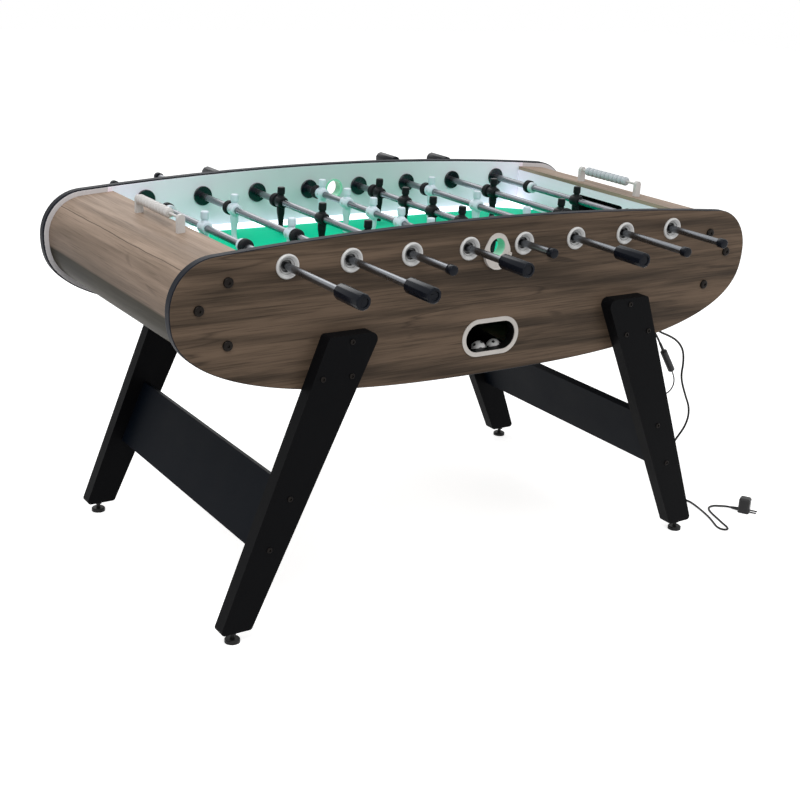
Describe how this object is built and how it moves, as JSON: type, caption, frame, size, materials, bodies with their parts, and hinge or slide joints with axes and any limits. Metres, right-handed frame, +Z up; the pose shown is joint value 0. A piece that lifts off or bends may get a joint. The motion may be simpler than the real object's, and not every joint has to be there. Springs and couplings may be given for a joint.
{
  "type": "foosball table",
  "caption": "Free-standing foosball table: oval-ended side panels on splayed legs, sliding and spinning rods with players, counters, ball return and power cord.",
  "frame": {"origin": "on the floor, midway between the four levelling feet", "axes": "+X along the table towards the right end as seen from the white team's handles, +Y across the table to the black team's side, +Z up"},
  "size_m": [1.7056, 1.3847, 0.8735],
  "materials": {
    "oak_laminate": "matt dark oak laminate, white inside, black edge band",
    "light_oak_laminate": "matt light oak laminate",
    "white_board": "satin white laminate",
    "green_field": "satin printed green board",
    "diffuser_white": "translucent white",
    "led_strip": "clear over white light strip",
    "raw_board": "raw board",
    "chute_board": "painted dark grey board",
    "trim_white": "moulded white",
    "bushing_plastic": "grey rosette and black lock ring",
    "black_steel": "black oxide",
    "black_wood": "matt black lacquer",
    "foot_black": "black",
    "counter_white": "white posts, steel rail",
    "bead_white": "white, with a grey row on the right",
    "ball_white": "white with black spots",
    "bumper_rubber": "black rubber, white collars on the goal rods",
    "rod_steel": "ground steel tube",
    "men_white": "moulded pale white",
    "men_black": "moulded black",
    "grip_black": "moulded black",
    "cord_black": "matt black sheath",
    "cord_plastic": "moulded black"
  },
  "bodies": {
    "table": {"near_side_panel": "oak_laminate", "far_side_panel": "oak_laminate", "end_covers": "light_oak_laminate", "end_walls": "white_board", "playfield": "green_field", "field_ramps": "diffuser_white", "led_strips": "led_strip", "cabinet_bottom": "raw_board", "cabinet_cleats": "raw_board", "ball_return": "chute_board", "panel_trims": "trim_white", "rod_bushings": "bushing_plastic", "bolts": "black_steel", "near_left_leg": "black_wood", "near_right_leg": "black_wood", "far_left_leg": "black_wood", "far_right_leg": "black_wood", "crossbars": "black_wood", "levelling_feet": "foot_black", "counter_rails": "counter_white", "power_cord": "cord_black", "table_lead": "cord_black", "connector": "cord_plastic", "plug": "cord_plastic", "cord_fixings": "cord_plastic"},
    "left_bead_row": {"left_beads": "bead_white"},
    "right_bead_row": {"right_beads": "bead_white"},
    "ball_pair": {"balls": "ball_white"},
    "white_goal_stops": {"white_goal_bumpers": "bumper_rubber"},
    "white_goal_players": {"white_goal_rod": "rod_steel", "white_goal_men": "men_white", "white_goal_grip_and_cap": "grip_black"},
    "white_defence_stops": {"white_defence_bumpers": "bumper_rubber"},
    "white_defence_players": {"white_defence_rod": "rod_steel", "white_defence_men": "men_white", "white_defence_grip_and_cap": "grip_black"},
    "black_attack_stops": {"black_attack_bumpers": "bumper_rubber"},
    "black_attack_players": {"black_attack_rod": "rod_steel", "black_attack_men": "men_black", "black_attack_grip_and_cap": "grip_black"},
    "white_midfield_stops": {"white_midfield_bumpers": "bumper_rubber"},
    "white_midfield_players": {"white_midfield_rod": "rod_steel", "white_midfield_men": "men_white", "white_midfield_grip_and_cap": "grip_black"},
    "black_midfield_stops": {"black_midfield_bumpers": "bumper_rubber"},
    "black_midfield_players": {"black_midfield_rod": "rod_steel", "black_midfield_men": "men_black", "black_midfield_grip_and_cap": "grip_black"},
    "white_attack_stops": {"white_attack_bumpers": "bumper_rubber"},
    "white_attack_players": {"white_attack_rod": "rod_steel", "white_attack_men": "men_white", "white_attack_grip_and_cap": "grip_black"},
    "black_defence_stops": {"black_defence_bumpers": "bumper_rubber"},
    "black_defence_players": {"black_defence_rod": "rod_steel", "black_defence_men": "men_black", "black_defence_grip_and_cap": "grip_black"},
    "black_goal_stops": {"black_goal_bumpers": "bumper_rubber"},
    "black_goal_players": {"black_goal_rod": "rod_steel", "black_goal_men": "men_black", "black_goal_grip_and_cap": "grip_black"}
  },
  "joints": [
    {"name": "white_goal_slide", "type": "slide", "parent": "table", "child": "white_goal_stops", "axis": [0, 1, 0], "range_m": [-0.14562, 0.11558]},
    {"name": "white_goal_spin", "type": "hinge", "parent": "white_goal_stops", "child": "white_goal_players", "pos_m": [-0.525, 0, 0.8083], "axis": [0, 1, 0], "continuous": true},
    {"name": "white_defence_slide", "type": "slide", "parent": "table", "child": "white_defence_stops", "axis": [0, 1, 0], "range_m": [-0.19493, 0.13687]},
    {"name": "white_defence_spin", "type": "hinge", "parent": "white_defence_stops", "child": "white_defence_players", "pos_m": [-0.375, 0, 0.8083], "axis": [0, 1, 0], "continuous": true},
    {"name": "black_attack_slide", "type": "slide", "parent": "table", "child": "black_attack_stops", "axis": [0, 1, 0], "range_m": [-0.11793, 0.08987]},
    {"name": "black_attack_spin", "type": "hinge", "parent": "black_attack_stops", "child": "black_attack_players", "pos_m": [-0.225, 0, 0.8083], "axis": [0, 1, 0], "continuous": true},
    {"name": "white_midfield_slide", "type": "slide", "parent": "table", "child": "white_midfield_stops", "axis": [0, 1, 0], "range_m": [-0.09092, 0.03088]},
    {"name": "white_midfield_spin", "type": "hinge", "parent": "white_midfield_stops", "child": "white_midfield_players", "pos_m": [-0.075, 0, 0.8083], "axis": [0, 1, 0], "continuous": true},
    {"name": "black_midfield_slide", "type": "slide", "parent": "table", "child": "black_midfield_stops", "axis": [0, 1, 0], "range_m": [-0.05688, 0.06492]},
    {"name": "black_midfield_spin", "type": "hinge", "parent": "black_midfield_stops", "child": "black_midfield_players", "pos_m": [0.075, 0, 0.8083], "axis": [0, 1, 0], "continuous": true},
    {"name": "white_attack_slide", "type": "slide", "parent": "table", "child": "white_attack_stops", "axis": [0, 1, 0], "range_m": [-0.12395, 0.08385]},
    {"name": "white_attack_spin", "type": "hinge", "parent": "white_attack_stops", "child": "white_attack_players", "pos_m": [0.225, 0, 0.8083], "axis": [0, 1, 0], "continuous": true},
    {"name": "black_defence_slide", "type": "slide", "parent": "table", "child": "black_defence_stops", "axis": [0, 1, 0], "range_m": [-0.17685, 0.15495]},
    {"name": "black_defence_spin", "type": "hinge", "parent": "black_defence_stops", "child": "black_defence_players", "pos_m": [0.375, 0, 0.8083], "axis": [0, 1, 0], "continuous": true},
    {"name": "black_goal_slide", "type": "slide", "parent": "table", "child": "black_goal_stops", "axis": [0, 1, 0], "range_m": [-0.12054, 0.14066]},
    {"name": "black_goal_spin", "type": "hinge", "parent": "black_goal_stops", "child": "black_goal_players", "pos_m": [0.525, 0, 0.8083], "axis": [0, 1, 0], "continuous": true},
    {"name": "left_bead_slide", "type": "slide", "parent": "table", "child": "left_bead_row", "axis": [0, 1, 0], "range_m": [-0.0497, 0]},
    {"name": "right_bead_slide", "type": "slide", "parent": "table", "child": "right_bead_row", "axis": [0, 1, 0], "range_m": [-0.0337, 0.016]},
    {"name": "ball_lift", "type": "slide", "parent": "table", "child": "ball_pair", "axis": [0, 0, 1], "range_m": [0, 0.06]}
  ]
}
